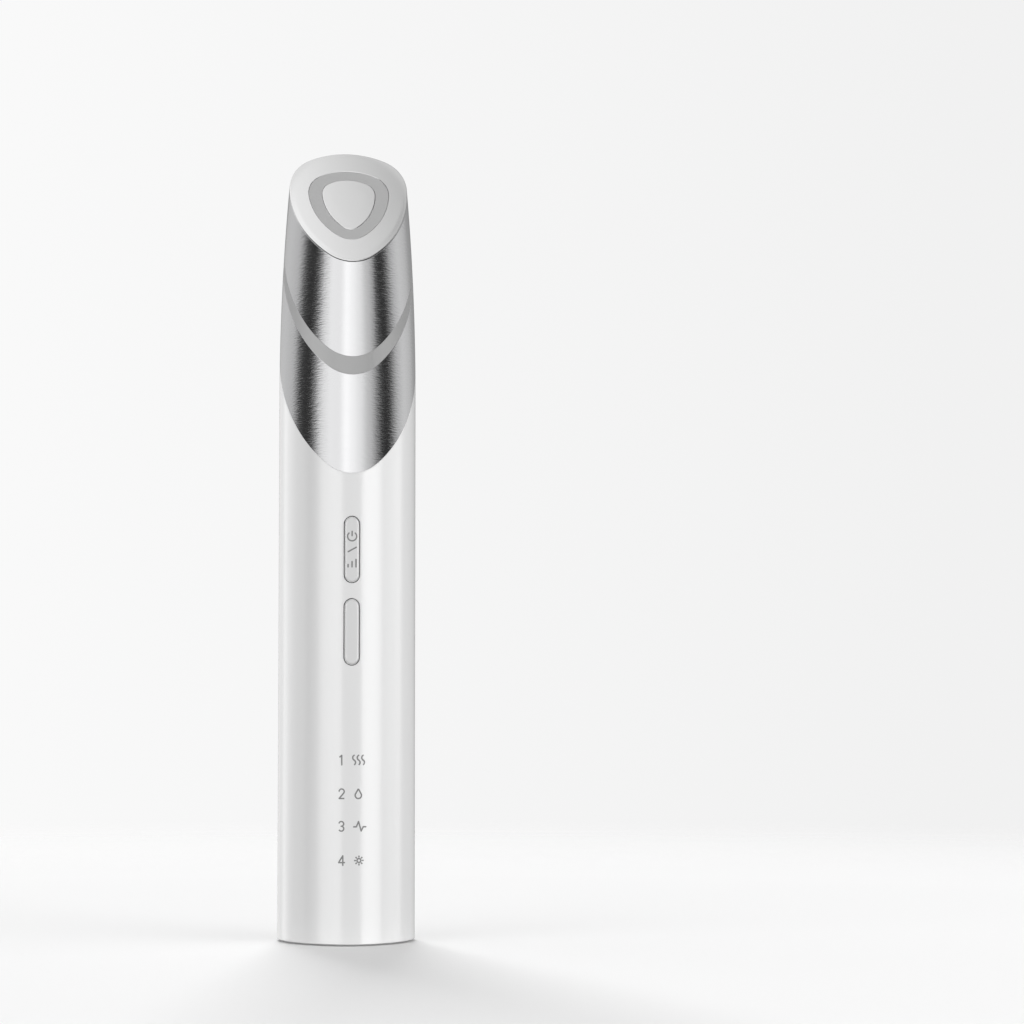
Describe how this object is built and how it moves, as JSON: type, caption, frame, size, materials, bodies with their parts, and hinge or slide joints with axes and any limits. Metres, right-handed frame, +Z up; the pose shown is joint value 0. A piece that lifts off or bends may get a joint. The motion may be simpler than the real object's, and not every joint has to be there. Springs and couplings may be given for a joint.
{
  "type": "heated eye massager wand",
  "caption": "Slim upright massage wand of rounded-triangle section with a slanted heated metal face, a light ring, a slanted light band and two press buttons.",
  "frame": {"origin": "middle of the base, on the surface that it stands on", "axes": "+Z up along the wand, -Y towards the front corner with the buttons, +X to the right seen from the front"},
  "size_m": [0.026, 0.026, 0.151],
  "materials": {
    "pearl_plastic": "pearl-white satin lacquer on ABS",
    "cap_plastic": "fine moulded texture",
    "silver_plating": "satin silver plating on ABS",
    "face_metal": "fine bead-blasted satin",
    "diffuser": "frosted translucent polycarbonate, unlit",
    "gasket_rubber": "silicone",
    "inner_plastic": "moulded ABS",
    "board_laminate": "glass-epoxy board, green mask",
    "chip_plastic": "moulded epoxy",
    "lamp_resin": "clear resin",
    "contact_brass": "gold-plated",
    "steel": "plain",
    "film": "amber polyimide film",
    "cell_foil": "foil pouch",
    "foam": "adhesive foam",
    "lead_sheath": "silicone sheath"
  },
  "bodies": {
    "housing": {"sleeve": "pearl_plastic", "base_cap": "cap_plastic", "collar": "silver_plating", "light_band": "diffuser", "upper_shell": "silver_plating", "face_gasket": "gasket_rubber", "face_plate": "face_metal", "light_ring": "diffuser", "centre_pad": "face_metal", "heater_film": "film", "thermistor": "chip_plastic", "head_board": "board_laminate", "ring_lamps": "lamp_resin", "contact_pins": "contact_brass", "head_frame": "inner_plastic", "band_board": "board_laminate", "band_lamps": "lamp_resin", "motor_can": "steel", "carrier": "inner_plastic", "main_board": "board_laminate", "board_parts": "chip_plastic", "mode_switch": "chip_plastic", "level_switch": "chip_plastic", "battery": "cell_foil", "battery_foam": "foam", "battery_leads": "lead_sheath", "mode_lamps": "lamp_resin", "light_wells": "inner_plastic", "charging_socket": "steel", "head_ribbon": "film", "board_screws": "steel", "frame_screws": "steel"},
    "mode_key": {"mode_button": "pearl_plastic", "mode_plunger": "inner_plastic"},
    "level_key": {"level_button": "pearl_plastic", "level_plunger": "inner_plastic"},
    "rotor": {"motor_shaft": "steel", "motor_weight": "steel"}
  },
  "joints": [
    {"name": "mode_button_press", "type": "slide", "parent": "housing", "child": "mode_key", "axis": [0, 1, 0], "range_m": [0, 0.0003], "stiffness_N_per_m": 4000},
    {"name": "level_button_press", "type": "slide", "parent": "housing", "child": "level_key", "axis": [0, 1, 0], "range_m": [0, 0.0003], "stiffness_N_per_m": 4000},
    {"name": "motor_spin", "type": "hinge", "parent": "housing", "child": "rotor", "pos_m": [0, 0.0005, 0.0955], "axis": [0, 0, 1], "continuous": true}
  ]
}
